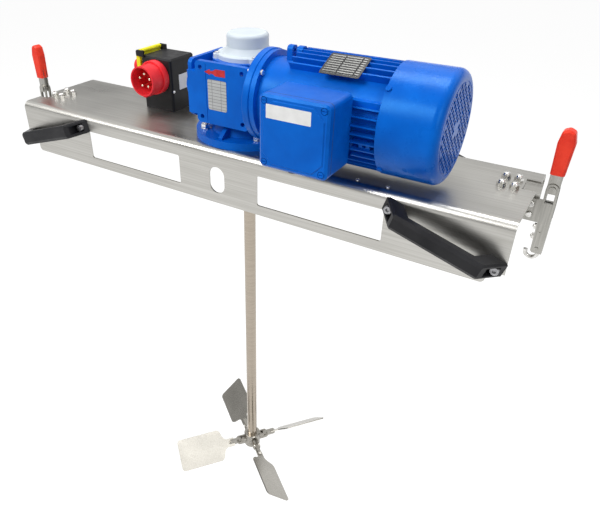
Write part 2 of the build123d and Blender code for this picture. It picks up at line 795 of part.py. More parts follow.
def drive_end_shield():
    """Bell between gearbox and motor, with the front bearing's seat."""
    body = rod_x(shield_radius, input_flange_end, frame_start, worm_y, axis_z)
    body += rod_x(input_flange_radius - 2, input_flange_end, shield_flange_end, worm_y, axis_z)
    body += about_motor(90, lifting_lug(frame_start - 18, shield_radius))
    for y, z in shield_bolt_places:
        body -= rod_x(shield_bolt_radius + .1, input_flange_end - 1, shield_flange_end + 1,
                      worm_y + y, axis_z + z)
    body -= rod_x(shield_radius - 8, input_flange_end - 1, frame_start - 14, worm_y, axis_z)
    return body - rod_x(shield_bearing, frame_start - 15, frame_start + 1, worm_y, axis_z)


def motor_frame():
    """Finned barrel.  Beside the terminal box a shelf runs along it, bare above and finned below."""
    body = rod_x(frame_radius, frame_start, frame_end, worm_y, axis_z)
    step = 360 / fin_count
    pad_end = box_centre_x + box_width / 2 - terminal_pad_inset
    for i in range(fin_count):
        angle = step * (i + .5)
        start = frame_start + 6
        if bare_from < angle < bare_to:
            start = box_centre_x + box_width / 2 + 1
        if bare_from < angle < bare_from + 30:
            continue
        fin = block((start, frame_end - 2), (-fin_thickness / 2, fin_thickness / 2),
                    (frame_radius - 1, fin_tip_radius))
        body += about_motor(angle, fin)
    body += block((pad_end - box_width + 2 * terminal_pad_inset, pad_end), (-box_back, worm_y),
                  (top + box_centre_z - terminal_pad_half, top + box_centre_z + terminal_pad_half))
    body += block((frame_start + 6, frame_end - 2), (-shelf_front, worm_y),
                  (top + shelf_low, top + shelf_high))
    boss = block((boss_centre - 9, boss_centre + 9), (-7, 7), (frame_radius - 1, fin_tip_radius - 4))
    body += about_motor(boss_angle, boss)
    body += about_motor(90, lifting_lug(frame_start, frame_radius))
    body -= about_motor(boss_angle, rod_z(3, frame_radius + 4, fin_tip_radius, boss_centre))
    body -= rod_x(cavity_r, frame_start - 1, frame_end + 1, worm_y, axis_z)
    return body


def rear_end_shield():
    """Plug in the barrel's far end, with the rear bearing's seat and four lugs for the cowl."""
    body = rod_x(cavity_r - seat, rear_shield_start, frame_end + 5, worm_y, axis_z)
    body += rod_x(frame_radius, frame_end, frame_end + 5, worm_y, axis_z)
    body -= rod_x(cavity_r - 8, rear_shield_start - 1, frame_end - 6, worm_y, axis_z)
    body += ring_x(shield_bearing + 6, shield_bearing, rear_shield_start, frame_end + 5)
    body -= rod_x(shield_bearing, rear_shield_start - 1, frame_end + 6, worm_y, axis_z)
    for angle in screw_angles:
        lug = block((-2.5, 6.5), (-8, 8), (frame_radius - 4, cowl_radius - cowl_wall - .5))
        lug -= rod_z(cowl_screw_radius, cowl_radius - 9.5, cowl_radius)
        body += at_rim(angle, lug)
    return body


def stator():
    core = ring_x(cavity_r - seat, rotor_radius + air_gap, stack_start, stack_start + stack_length)
    ends = [ring_x(cavity_r - 8, rotor_radius + 4, low, low + 18)
            for low in (stack_start - 18, stack_start + stack_length)]
    return core, ends


def rotor():
    core = ring_x(rotor_radius, motor_shaft_radius + seat, stack_start, stack_start + stack_length)
    shaft = rod_x(coupling_radius, input_flange_end + 3, frame_start - 18, worm_y, axis_z)
    shaft += rod_x(motor_shaft_radius, frame_start - 18, fan_start + 16, worm_y, axis_z)
    return core, shaft


def fan():
    hub = ring_x(19, motor_shaft_radius + seat, fan_start, fan_start + 16)
    disc = ring_x(64, 18, fan_start + 3, fan_start + 6)
    body = hub + disc
    for i in range(8):
        blade = block((fan_start + 5, fan_start + 30), (-1.5, 1.5), (17, 68))
        blade = chamfer(blade.edges().filter_by(Axis.Y).group_by(Axis.X)[-1].sort_by(Axis.Z)[0], 14)
        body += Pos(0, worm_y, axis_z) * Rot(45 * i, 0, 0) * blade
    return body


def cowl_profile(radius, edge, start, end):
    """Body of revolution about the motor axis with a rounded far edge."""
    outline = Polyline((start, 0), (end, 0), (end, radius - edge))
    outline += RadiusArc((end, radius - edge), (end - edge, radius), -edge)
    outline += Polyline((end - edge, radius), (start, radius), (start, 0))
    solid = revolve(make_face(outline), Axis.X)
    return Pos(0, worm_y, axis_z) * solid


def fan_cowl():
    """Pressed cover whose end is pierced by a grille of square holes round a plain centre."""
    start = frame_end - 1
    body = cowl_profile(cowl_radius, cowl_edge, start, cowl_end)
    body -= cowl_profile(cowl_radius - cowl_wall, cowl_edge - cowl_wall, start - 1, cowl_end - cowl_wall)
    cell = grille_pitch - grille_bar
    boss = 15.0
    count = int(grille_radius / grille_pitch) + 1
    holes = Sketch()
    cells = [Pos(i * grille_pitch, j * grille_pitch) * Rectangle(cell, cell)
             for i in range(-count, count + 1) for j in range(-count, count + 1)
             if boss < grille_pitch * sqrt(i * i + j * j) + 1 < grille_radius]
    holes = Rot(0, 0, 45) * (holes + cells)
    cutter = extrude(holes, cowl_wall + 2)
    body -= Pos(cowl_end - cowl_wall - 1, worm_y, axis_z) * Rot(0, 90, 0) * cutter
    body -= ring_x(grille_radius + 4.5, grille_radius + 2, cowl_end - .7, cowl_end + 1)
    for angle in screw_angles:
        body -= at_rim(angle, rod_z(cowl_screw_radius + .2, frame_radius, cowl_radius + 1))
    return body


def at_rim(angle, shape):
    """Turn a shape that points up at the cowl's fixing plane round the motor axis."""
    return Pos(frame_end + 2.5, worm_y, axis_z) * Rot(angle, 0, 0) * shape


def cowl_screws():
    screws = []
    for angle in screw_angles:
        head = rod_z(4.5, cowl_radius, cowl_radius + 2.8)
        head = fillet(head.edges().group_by(Axis.Z)[-1], 1)
        screws.append(at_rim(angle, head + rod_z(cowl_screw_radius, cowl_radius - 9, cowl_radius)))
    return screws


save("drive_end_shield", drive_end_shield())
save("motor_frame", motor_frame())
save("rear_end_shield", rear_end_shield())
core, ends = stator()
save("stator_core", core)
save("stator_windings", *ends)
core, shaft = rotor()
save("rotor_core", core)
save("motor_shaft", shaft)
inner = motor_shaft_radius + running
save("motor_bearings", ring_x(shield_bearing, inner, frame_start - bearing_width, frame_start),
     ring_x(shield_bearing, inner, frame_end - bearing_width + 5, frame_end + 5))
save("fan", fan())
save("fan_cowl", fan_cowl())

# ------------------------------------------------------------------ terminal box
box_x = (box_centre_x - box_width / 2, box_centre_x + box_width / 2)
box_z = (top + box_centre_z - box_height / 2, top + box_centre_z + box_height / 2)
rim_y = -box_front + lid_depth
gland_x = box_centre_x - gland_offset
gland_y = -box_back - gland_setback


def inset(pair, by):
    return (pair[0] + by, pair[1] - by)


def corner_places():
    return [(x, z) for x in inset(box_x, box_screw_inset) for z in inset(box_z, box_screw_inset)]


def terminal_box():
    body = block(box_x, (rim_y + gasket_thickness, -box_back), box_z)
    body = fillet(body.edges().filter_by(Axis.Y), 8)
    body -= block(inset(box_x, box_wall), (rim_y - 1, -box_back - box_wall), inset(box_z, box_wall))
    for x, z in corner_places():
        post = rod_y(6, rim_y + gasket_thickness, -box_back - 1, x, z)
        body += post - rod_y(2.5, rim_y - 1, rim_y + 16, x, z)
    return body - rod_z(gland_radius, box_z[0] - 1, box_z[0] + box_wall + 1, gland_x, gland_y)




def gasket():
    outer = block(box_x, (rim_y, rim_y + gasket_thickness), box_z)
    outer = fillet(outer.edges().filter_by(Axis.Y), 8)
    ring = outer - block(inset(box_x, 3.4), (rim_y - 1, rim_y + 2), inset(box_z, 3.4))
    return ring


def terminal_lid():
    """Lid with a raised panel whose corners are cut back from the screws."""
    body = block(box_x, (-box_front, rim_y), box_z)
    body = fillet(body.edges().filter_by(Axis.Y), 8)
    body = chamfer(body.faces().sort_by(Axis.Y)[0].edges(), 4, 3)
    body -= block(inset(box_x, 14), (-box_front + 5, rim_y + 1), inset(box_z, 14))
    panel = block(inset(box_x, 7), (-box_front - 1.5, -box_front), inset(box_z, 7))
    panel = chamfer(panel.edges().filter_by(Axis.Y), lid_corner_cut)
    body += chamfer(panel.faces().sort_by(Axis.Y)[0].edges(), 1.2)
    for x, z in corner_places():
        body -= rod_y(2.7, -box_front - 1, rim_y + 1, x, z)
        body -= rod_y(5.5, -box_front - 2, -box_front + 3, x, z)
    return body


def lid_screws():
    face = -box_front + 3
    screws = []
    for x, z in corner_places():
        head = rod_y(4.6, face - 3.2, face, x, z)
        head -= block((x - 4, x + 4), (face - 4, face - 2), (z - .6, z + .6))
        screws.append(head + rod_y(2.4, face, rim_y + 12, x, z))
    return screws


def cable_gland():
    z = box_z[0]
    body = rod_z(gland_radius - .1, z - 1, z + box_wall + 4, gland_x, gland_y)
    body += hex_z(24, z - 6, z, gland_x, gland_y)
    cap = rod_z(10.5, z - 19, z - 6, gland_x, gland_y)
    body += fillet(cap.edges().group_by(Axis.Z)[0], 2.5)
    return body - rod_z(5, z - 20, z + box_wall + 5, gland_x, gland_y)


def terminal_board():
    back = -box_back - box_wall
    body = block((box_centre_x - 26, box_centre_x + 26), (back - 12, back),
                 (top + box_centre_z - 20, top + box_centre_z + 20))
    studs = []
    for i in (-16, 0, 16):
        for k in (-10, 10):
            x, z = box_centre_x + i, top + box_centre_z + k
            studs.append(rod_y(2.4, back - 26, back - 12, x, z) + hex_y(8, back - 17, back - 12, x, z))
    return body, studs


save("terminal_box", terminal_box())
save("lid_gasket", gasket())
save("terminal_lid", terminal_lid())
save("motor_screws", *cowl_screws(), *lid_screws())
save("cable_gland", cable_gland())
board, studs = terminal_board()
save("terminal_board", board, *studs)

# ------------------------------------------------------------------ shaft and folding impeller


def agitator_shaft():
    body = rod_z(shaft_radius, shaft_bottom, lid_z + 14)
    return chamfer(body.edges().group_by(Axis.Z)[0], 2)


def impeller_hub():
    low, high = hub_centre - hub_height / 2, hub_centre + hub_height / 2
    body = rod_z(hub_radius, low, high)
    body = chamfer(body.edges().filter_by(GeomType.CIRCLE), 2)
    inner = lug_width / 2 + lug_gap
    ears = []
    for s in (-1, 1):
        side = sorted((s * inner, s * (inner + ear_thickness)))
        ear = block((0, blade_pivot_radius), side, (-8, 8)) + rod_y(8, *side, blade_pivot_radius, 0)
        ears.append(ear - block((-1, hub_radius - 5), (-30, 30), (-9, 9)))
    pin = rod_y(blade_pin_radius, -inner - ear_thickness - 1.5, inner + ear_thickness + 1.5,
                blade_pivot_radius, 0)
    for i in range(4):
        for piece in ears + [pin]:
            body += Pos(0, 0, hub_centre) * Rot(0, 0, blade_azimuth + 90 * i) * piece
    return body - rod_z(shaft_radius + seat, low - 1, high + 1)


def blade():
    """One blade along +X, pivot axis along Y, before it is turned to its place round the shaft."""
    r = blade_pivot_radius
    inner, tip = blade_tip_radius - blade_length, blade_tip_radius
    w, a = blade_width / 2, arm_width / 2
    start = r + 16
    path = Line((start, -a), (start, a))
    path += Line((start, a), (inner - 26, a))
    path += Spline((inner - 26, a), (inner, w), tangents=((1, 0), (1, 0.15)))
    path += Line((inner, w), (tip, w))
    path += Line((tip, w), (tip, -w))
    path += Line((tip, -w), (inner, -w))
    path += Spline((inner, -w), (inner - 26, -a), tangents=((-1, 0.15), (-1, 0)))
    path += Line((inner - 26, -a), (start, -a))
    face = make_face(path)
    plate = Pos(0, 0, -blade_thickness / 2) * extrude(face, blade_thickness)
    plate = fillet(plate.edges().filter_by(Axis.Z).group_by(Axis.X)[-1], 9)
    plate = Rot(blade_pitch, 0, 0) * plate
    lug = block((r, r + 30), (-lug_width / 2, lug_width / 2), (-lug_radius, lug_radius))
    lug = chamfer(lug.edges().filter_by(Axis.Y).group_by(Axis.X)[-1], 4)
    lug += rod_y(lug_radius, -lug_width / 2, lug_width / 2, r, 0)
    return lug - rod_y(blade_pin_radius + running, -10, 10, r, 0) + plate


save("agitator_shaft", agitator_shaft())
save("impeller_hub", impeller_hub())
for i in range(4):
    save(f"blade_{i + 1}", Pos(0, 0, hub_centre) * Rot(0, 0, blade_azimuth + 90 * i) * blade())

# ------------------------------------------------------------------ switch with power inlet
switch_left, switch_right = switch_x - switch_width / 2, switch_x + switch_width / 2
switch_back = switch_front + switch_depth
joint_z = top + switch_base_height
button_z = top + button_height
button_places = [switch_front + setback for setback in button_setback]
flap_near, flap_far = [switch_front + edge for edge in flap_span]
flap_hinge = (switch_left - flap_pin_offset, top + switch_height + flap_pin_offset)
inlet_pin_places = ring_places(inlet_pin_circle, 5, 90)


def rounded_box(x, y, z, radius):
    return fillet(block(x, y, z).edges().filter_by(Axis.Z), radius)


def switch_base():
    body = rounded_box((switch_left, switch_right), (switch_front, switch_back), (top, joint_z), 6)
    body -= rounded_box((switch_left + 3, switch_right - 3), (switch_front + 3, switch_back - 3),
                        (top + 3, joint_z + 1), 3)
    for x, y in switch_screw_places():
        body += rod_z(5, top, joint_z, x, y)
        body -= rod_z(switch_screw_radius + .2, top - 1, joint_z + 1, x, y)
    return body


def switch_housing():
    high = top + switch_height
    body = rounded_box((switch_left, switch_right), (switch_front, switch_back), (joint_z, high), 6)
    body = chamfer(body.faces().sort_by(Axis.Z)[-1].edges(), 3)
    body -= rounded_box((switch_left + 3, switch_right - 3), (switch_front + 3, switch_back - 3),
                        (joint_z - 1, high - 4), 3)
    body -= rod_y(19, switch_front - 1, switch_front + 4, switch_x, top + inlet_z)
    for y in button_places:
        body -= rod_x(button_radius + .2, switch_left - 1, switch_left + 4, y, button_z)
    hx, hz = flap_hinge
    for low, high_y in ((flap_near - 4.6, flap_near - flap_gap), (flap_far + flap_gap, flap_far + 4.6)):
        ear = block((hx - 4, switch_left + 10), (low, high_y), (high - 2, hz + 4))
        body += chamfer(ear.edges().filter_by(Axis.Y).group_by(Axis.X)[0], 2)
    return body + rod_y(flap_pin_radius, flap_near - 4.6, flap_far + 4.6, hx, hz)



def switch_screws():
    screws = []
    for x, y in switch_screw_places():
        screw = rod_z(switch_screw_radius, top - sheet - 2, joint_z + 8, x, y)
        screws.append(screw + hex_z(8, top - sheet - 4, top - sheet, x, y))
    return screws


def inlet_shroud():
    """Round appliance inlet's shroud, which looks to the front, with its collar and its key."""
    z = top + inlet_z
    front = -inlet_reach
    shell = rod_y(inlet_radius, front, switch_front, switch_x, z)
    shell -= rod_y(inlet_radius - inlet_wall, front - 1, switch_front + 1, switch_x, z)
    collar = rod_y(inlet_radius + 4, switch_front - 14, switch_front, switch_x, z)
    collar -= rod_y(inlet_radius, switch_front - 15, switch_front + 1, switch_x, z)
    collar = chamfer(collar.faces().sort_by(Axis.Y)[0].edges(), 1)
    key = block((switch_x - 4, switch_x + 4), (front + 4, switch_front - 14),
                (z - inlet_radius - 3, z - inlet_radius + 1))
    key -= rod_y(inlet_radius, front, switch_front, switch_x, z)
    return [shell, collar, key]


def inlet_carrier():
    """Moulded disc in the shroud's back that carries the five pins and reaches into the switch."""
    z = top + inlet_z
    floor = switch_front - inlet_depth
    carrier = rod_y(inlet_radius - inlet_wall - seat, floor, switch_front, switch_x, z)
    carrier += rod_y(18, switch_front, switch_front + 12, switch_x, z)
    for x, dz in inlet_pin_places:
        carrier -= rod_y(inlet_pin_radius, floor - 1, switch_front + 13, switch_x + x, z + dz)
    return carrier


def inlet_pins():
    z = top + inlet_z
    return [fillet(rod_y(inlet_pin_radius - seat, -inlet_reach + 8, switch_front + 14, switch_x + x, z + dz)
                   .edges().group_by(Axis.Y)[0], 1.2) for x, dz in inlet_pin_places]


def stop_flap():
    """Yellow flap over both buttons, hung on a pin above the housing's side."""
    hx, hz = flap_hinge
    low = button_z - 28
    body = block((switch_left - flap_thickness, switch_left - 4.5), (flap_near, flap_far), (low, hz))
    body = fillet(body.edges().filter_by(Axis.X).group_by(Axis.Z)[0], 8)
    body += rod_y(4.5, flap_near, flap_far, hx, hz)
    body -= rod_x(mushroom_stem + .3, switch_left - flap_thickness - 1, switch_left, button_places[0],
                  button_z)
    return body - rod_y(flap_pin_radius + running, flap_near - 1, flap_far + 1, hx, hz)


def stop_mushroom():
    """Red head outside the flap; its stem reaches through to the stop button below."""
    y = button_places[0]
    face = switch_left - flap_thickness - button_travel - .5
    head = rod_x(mushroom_radius, face - 11, face, y, button_z)
    head = fillet(head.edges().group_by(Axis.X)[0], 4)
    return head + rod_x(mushroom_stem, face, switch_left - 3.8, y, button_z)


def push_button(y):
    cap = rod_x(button_radius, switch_left - 3.5, switch_left + 12, y, button_z)
    cap = fillet(cap.edges().group_by(Axis.X)[0], 1)
    return cap + rod_x(button_radius + 2, switch_left + 4, switch_left + 10, y, button_z)


save("switch_base", switch_base())
save("switch_housing", switch_housing())
save("switch_screws", *switch_screws())
save("power_inlet", *inlet_shroud())
save("inlet_carrier", inlet_carrier())
save("inlet_pins", *inlet_pins())
save("stop_flap", stop_flap())
save("stop_mushroom", stop_mushroom())
save("stop_button", push_button(button_places[0]))
save("start_button", push_button(button_places[1]))
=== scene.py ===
"""Tank agitator: a folded stainless beam that bridges a container and carries a worm gear motor,
a switch with its power inlet, four handles, two toggle clamps and a shaft with folding blades.

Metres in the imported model's frame: +Z up along the shaft, +X along the beam towards the motor."""
import json

import bpy
import numpy as np
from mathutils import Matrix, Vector


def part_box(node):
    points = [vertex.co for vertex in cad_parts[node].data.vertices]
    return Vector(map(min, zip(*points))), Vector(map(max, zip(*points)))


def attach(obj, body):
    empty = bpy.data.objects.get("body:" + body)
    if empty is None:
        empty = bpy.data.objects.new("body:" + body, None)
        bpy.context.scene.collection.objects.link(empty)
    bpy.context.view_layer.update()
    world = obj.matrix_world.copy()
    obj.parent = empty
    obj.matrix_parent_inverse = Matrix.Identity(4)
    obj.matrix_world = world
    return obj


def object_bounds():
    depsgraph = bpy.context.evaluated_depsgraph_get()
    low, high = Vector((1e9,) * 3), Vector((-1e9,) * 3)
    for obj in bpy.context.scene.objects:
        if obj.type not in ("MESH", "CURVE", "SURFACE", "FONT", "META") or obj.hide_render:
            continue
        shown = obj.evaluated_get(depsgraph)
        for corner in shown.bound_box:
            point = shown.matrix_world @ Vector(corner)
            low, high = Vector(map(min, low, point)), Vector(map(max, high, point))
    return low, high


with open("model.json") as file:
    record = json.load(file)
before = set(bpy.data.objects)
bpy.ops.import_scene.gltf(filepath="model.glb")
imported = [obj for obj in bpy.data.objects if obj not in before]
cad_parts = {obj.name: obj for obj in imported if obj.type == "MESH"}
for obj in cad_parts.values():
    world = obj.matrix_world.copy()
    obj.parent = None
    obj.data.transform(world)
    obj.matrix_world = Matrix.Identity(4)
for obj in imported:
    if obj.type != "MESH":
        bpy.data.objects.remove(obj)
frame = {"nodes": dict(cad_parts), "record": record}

cad_box = [list(corner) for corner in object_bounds()]

# ---------------------------------------------------------------------------------------- stage
# The agitator hangs over a pale studio floor with room for its blades to fold.  Soft lamps stand
# at the front left, overhead and at the front right, and the room is white up to head height.
floor_half = 14.0
floor_gap = 0.130
floor_grey = 0.7
room_fill = 0.36
shadow_share = 0.30
floor_glow = 0.86

camera_place = (0.609, -0.914, 0.489)
camera_aim = (-0.4544, 0.7136, -0.5332)
camera_lens = 35.46
camera_shift = (0.0657, -0.0063)


def sheet_object(name, points, faces):
    """Mesh object with the given corner points and faces, each face a list of point numbers."""
    mesh = bpy.data.meshes.new(name)
    mesh.from_pydata([tuple(map(float, p)) for p in points], [], faces)
    mesh.update()
    piece = bpy.data.objects.new(name, mesh)
    bpy.context.scene.collection.objects.link(piece)
    return piece


def seen_ray(tree):
    """1 for a ray from the eye or its mirror image or view through glass, 0 for a light ray."""
    path = tree.nodes.new("ShaderNodeLightPath")
    total = path.outputs["Is Camera Ray"]
    for ray in ("Is Glossy Ray", "Is Transmission Ray"):
        add = tree.nodes.new("ShaderNodeMath")
        add.operation = "ADD"
        add.use_clamp = True
        tree.links.new(total, add.inputs[0])
        tree.links.new(path.outputs[ray], add.inputs[1])
        total = add.outputs[0]
    return total


def choose(tree, seen, otherwise, shown, out):
    """The shader that light rays meet, and the one that the eye meets, joined at the output."""
    mix = tree.nodes.new("ShaderNodeMixShader")
    tree.links.new(seen, mix.inputs[0])
    tree.links.new(otherwise, mix.inputs[1])
    tree.links.new(shown, mix.inputs[2])
    tree.links.new(mix.outputs[0], out)


def floor_finish():
    """Matt grey to the light; to the eye a thin matt coat over a glow, so that shadows stay faint."""
    material = bpy.data.materials.new("studio_floor")
    material.use_nodes = True
    tree = material.node_tree
    tree.nodes.remove(tree.nodes["Principled BSDF"])
    matt = tree.nodes.new("ShaderNodeBsdfDiffuse")
    matt.inputs["Color"].default_value = (floor_grey, floor_grey, floor_grey, 1)
    thin = tree.nodes.new("ShaderNodeBsdfDiffuse")
    thin.inputs["Color"].default_value = (shadow_share, shadow_share, shadow_share, 1)
    glow = tree.nodes.new("ShaderNodeEmission")
    glow.inputs["Strength"].default_value = floor_glow
    both = tree.nodes.new("ShaderNodeAddShader")
    tree.links.new(thin.outputs[0], both.inputs[0])
    tree.links.new(glow.outputs[0], both.inputs[1])
    out = tree.nodes["Material Output"].inputs["Surface"]
    choose(tree, seen_ray(tree), matt.outputs[0], both.outputs[0], out)
    return material


def white_room():
    """World: white up to head height, a dark band of studio above it, and a lighter ceiling."""
    world = bpy.data.worlds.new("white_room")
    bpy.context.scene.world = world
    world.use_nodes = True
    tree = world.node_tree
    tree.nodes.clear()
    where = tree.nodes.new("ShaderNodeTexCoord")
    split = tree.nodes.new("ShaderNodeSeparateXYZ")
    height = tree.nodes.new("ShaderNodeValToRGB")
    tree.links.new(where.outputs["Generated"], split.inputs[0])
    tree.links.new(split.outputs["Z"], height.inputs[0])
    ramp = height.color_ramp
    ramp.elements[0].position = 0.14
    ramp.elements[0].color = (1, 1, 1, 1)
    ramp.elements[1].position = 1.0
    ramp.elements[1].color = (0.8, 0.8, 0.8, 1)
    for place, grey in ((0.20, 0.13), (0.29, 0.12), (0.36, 0.60), (0.42, 1.0)):
        ramp.elements.new(place).color = (grey, grey, grey, 1)
    shown = tree.nodes.new("ShaderNodeBackground")
    tree.links.new(height.outputs["Color"], shown.inputs["Color"])
    fill = tree.nodes.new("ShaderNodeBackground")
    fill.inputs["Color"].default_value = (1, 1, 1, 1)
    fill.inputs["Strength"].default_value = room_fill
    out = tree.nodes.new("ShaderNodeOutputWorld")
    choose(tree, seen_ray(tree), fill.outputs[0], shown.outputs[0], out.inputs["Surface"])


def soft_lamp(name, place, aim, width, height, watts):
    """Rectangular lamp of the given width, height and power that faces its aim."""
    light = bpy.data.lights.new(name, "AREA")
    light.shape = "RECTANGLE"
    light.size = width
    light.size_y = height
    light.energy = watts
    lamp = bpy.data.objects.new(name, light)
    lamp.location = place
    lamp.rotation_euler = (Vector(aim) - Vector(place)).to_track_quat("-Z", "Y").to_euler()
    bpy.context.scene.collection.objects.link(lamp)


floor_z = cad_box[0][2] - floor_gap
corners = [(sx * floor_half, sy * floor_half, floor_z) for sx, sy in ((-1, -1), (1, -1), (1, 1), (-1, 1))]
studio_floor = sheet_object("studio_floor", corners, [[0, 1, 2, 3]])
studio_floor.data.materials.append(floor_finish())
white_room()
soft_lamp("front_left_lamp", (-1.3, -2.2, 2.3), (0, 0, 0.1), 2.2, 1.2, 78)
soft_lamp("overhead_lamp", (0.2, 0.5, 2.4), (0.1, 0, 0.1), 1.6, 0.9, 36)
soft_lamp("right_lamp", (2.2, -1.35, 1.33), (0, -0.1, -0.5), 1.3, 1.3, 13)

view = bpy.data.cameras.new("view")
view.sensor_width = 36.0
view.lens = camera_lens
view.shift_x, view.shift_y = camera_shift
eye = bpy.data.objects.new("view", view)
eye.location = camera_place
eye.rotation_euler = Vector(camera_aim).to_track_quat("-Z", "Y").to_euler()
bpy.context.scene.collection.objects.link(eye)
bpy.context.scene.camera = eye
bpy.context.scene.view_settings.view_transform = "Standard"

# ----------------------------------------------------------------------------------- cross beam
# One stainless sheet, brushed along its length and folded down at both long sides.  The grain
# runs with X everywhere, and handling has left it a little uneven in gloss.
steel_dark = (0.455, 0.445, 0.415)
steel_light = (0.545, 0.535, 0.505)


def new_finish(name, colour, metallic=0.0, roughness=0.5, specular=0.5):
    """Node material with one shader whose plain values are set on its own sockets."""
    material = bpy.data.materials.new(name)
    material.use_nodes = True
    shader = material.node_tree.nodes["Principled BSDF"]
    shader.inputs["Base Color"].default_value = (*colour, 1)
    shader.inputs["Metallic"].default_value = metallic
    shader.inputs["Roughness"].default_value = roughness
    shader.inputs["Specular IOR Level"].default_value = specular
    return material


def shader_of(material):
    """The one shader of a material made by new_finish."""
    return material.node_tree.nodes["Principled BSDF"]


def grain(material, cell, stretch=(1, 1, 1), detail=2.0, start=0.0):
    """Noise in the piece's own coordinates whose cells are cell metres wide, drawn out by stretch."""
    tree = material.node_tree
    where = tree.nodes.new("ShaderNodeTexCoord")
    place = tree.nodes.new("ShaderNodeMapping")
    place.inputs["Location"].default_value = (start, start, start)
    place.inputs["Scale"].default_value = [1 / (cell * s) for s in stretch]
    noise = tree.nodes.new("ShaderNodeTexNoise")
    noise.inputs["Scale"].default_value = 1.0
    noise.inputs["Detail"].default_value = detail
    tree.links.new(where.outputs["Object"], place.inputs["Vector"])
    tree.links.new(place.outputs["Vector"], noise.inputs["Vector"])
    return noise.outputs["Fac"]


def tint(material, source, dark, light, low=0.35, high=0.65):
    """Base colour that runs from dark to light as the grain goes from low to high."""
    tree = material.node_tree
    ramp = tree.nodes.new("ShaderNodeValToRGB")
    ramp.color_ramp.elements[0].position = low
    ramp.color_ramp.elements[0].color = (*dark, 1)
    ramp.color_ramp.elements[1].position = high
    ramp.color_ramp.elements[1].color = (*light, 1)
    tree.links.new(source, ramp.inputs[0])
    tree.links.new(ramp.outputs["Color"], shader_of(material).inputs["Base Color"])


def gloss(material, source, smooth, rough, low=0.35, high=0.65):
    """Roughness that runs from smooth to rough as the grain goes from low to high."""
    tree = material.node_tree
    scale = tree.nodes.new("ShaderNodeMapRange")
    scale.inputs["From Min"].default_value = low
    scale.inputs["From Max"].default_value = high
    scale.inputs["To Min"].default_value = smooth
    scale.inputs["To Max"].default_value = rough
    tree.links.new(source, scale.inputs["Value"])
    tree.links.new(scale.outputs["Result"], shader_of(material).inputs["Roughness"])


def relief(material, source, height, strength=1.0):
    """Bump of the given height in metres, added over any bump that the material already has."""
    tree = material.node_tree
    bump = tree.nodes.new("ShaderNodeBump")
    bump.inputs["Strength"].default_value = strength
    bump.inputs["Distance"].default_value = height
    tree.links.new(source, bump.inputs["Height"])
    normal = shader_of(material).inputs["Normal"]
    if normal.is_linked:
        tree.links.new(normal.links[0].from_socket, bump.inputs["Normal"])
    tree.links.new(bump.outputs["Normal"], normal)


def dress(material, *nodes):
    """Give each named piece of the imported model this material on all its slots."""
    for node in nodes:
        for held in frame["nodes"][node].material_slots:
            held.material = material


def brushed_steel(name, dark, light, stretch, smooth=0.24, rough=0.38):
    """Stainless sheet brushed along the axis that stretch draws out."""
    streak, handled_patch, scratch, scratch_depth = 0.0022, 0.11, 0.0010, 0.00003
    finish = new_finish(name, light, metallic=1.0, roughness=smooth)
    tint(finish, grain(finish, streak, stretch, 3.0), dark, light)
    gloss(finish, grain(finish, handled_patch, (1.6, 1, 1), 3.0, 4.0), smooth, rough)
    relief(finish, grain(finish, scratch, stretch, 2.0, 9.0), scratch_depth, 0.4)
    return finish


beam_steel = brushed_steel("beam_brushed_steel", steel_dark, steel_light, (90, 1, 1), 0.27, 0.38)
shader_of(beam_steel).inputs["Anisotropic"].default_value = 0.35
dress(beam_steel, "cross_beam")

# ------------------------------------------------------------------------------ carrying handles
# Bridge handles of black glass-filled plastic with a fine spark texture, held by zinc-plated
# socket screws in pockets and nuts inside the beam.
handle_finish = new_finish("handle_black", (0.014, 0.014, 0.016), roughness=0.42, specular=0.2)
tint(handle_finish, grain(handle_finish, 0.05, detail=3.0), (0.010, 0.010, 0.012), (0.020, 0.020, 0.022))
gloss(handle_finish, grain(handle_finish, 0.03, detail=3.0, start=2.0), 0.34, 0.50)
relief(handle_finish, grain(handle_finish, 0.0007, detail=1.0), 0.00006, 0.6)
for row in ("front", "back"):
    dress(handle_finish, f"carry_handle_{row}_left", f"carry_handle_{row}_right")

zinc = new_finish("bright_zinc", (0.74, 0.75, 0.77), metallic=1.0, roughness=0.25)
tint(zinc, grain(zinc, 0.004, detail=3.0), (0.60, 0.61, 0.63), (0.80, 0.81, 0.82))
gloss(zinc, grain(zinc, 0.006, detail=2.0, start=3.0), 0.16, 0.34)
dress(zinc, "flange_fasteners", "cap_screws", "switch_screws")
# A darker copy of the bright zinc for the handle screws: the shade in the pockets they sit in is painted
# into its colour.
zinc_painted_pocket_shade = new_finish("handle_screw_zinc_painted_shade", (0.36, 0.36, 0.37), metallic=1.0, roughness=0.34)
tint(zinc_painted_pocket_shade, grain(zinc_painted_pocket_shade, 0.003, detail=3.0), (0.26, 0.26, 0.27), (0.42, 0.42, 0.43))
dress(zinc_painted_pocket_shade, "handle_fasteners")

# --------------------------------------------------------------------------------- toggle clamps
# Laser-cut stainless plates with a drawn finish, riveted so that the lever draws the hook up
# against the container's rim.  The grips are dipped in soft red vinyl.
clamp_steel = brushed_steel("clamp_drawn_steel", (0.33, 0.325, 0.30), (0.43, 0.42, 0.39), (1, 1, 30),
                            0.22, 0.36)
bright_steel = new_finish("bright_rod_steel", (0.66, 0.65, 0.62), metallic=1.0, roughness=0.18)
tint(bright_steel, grain(bright_steel, 0.005, detail=2.0), (0.56, 0.55, 0.52), (0.72, 0.71, 0.69))
gloss(bright_steel, grain(bright_steel, 0.004, detail=2.0, start=5.0), 0.12, 0.26)
for side in ("left", "right"):
    dress(clamp_steel, f"clamp_bracket_{side}", f"clamp_lever_{side}", f"clamp_link_{side}")
    dress(bright_steel, f"clamp_hook_{side}")
dress(bright_steel, "bracket_fasteners")

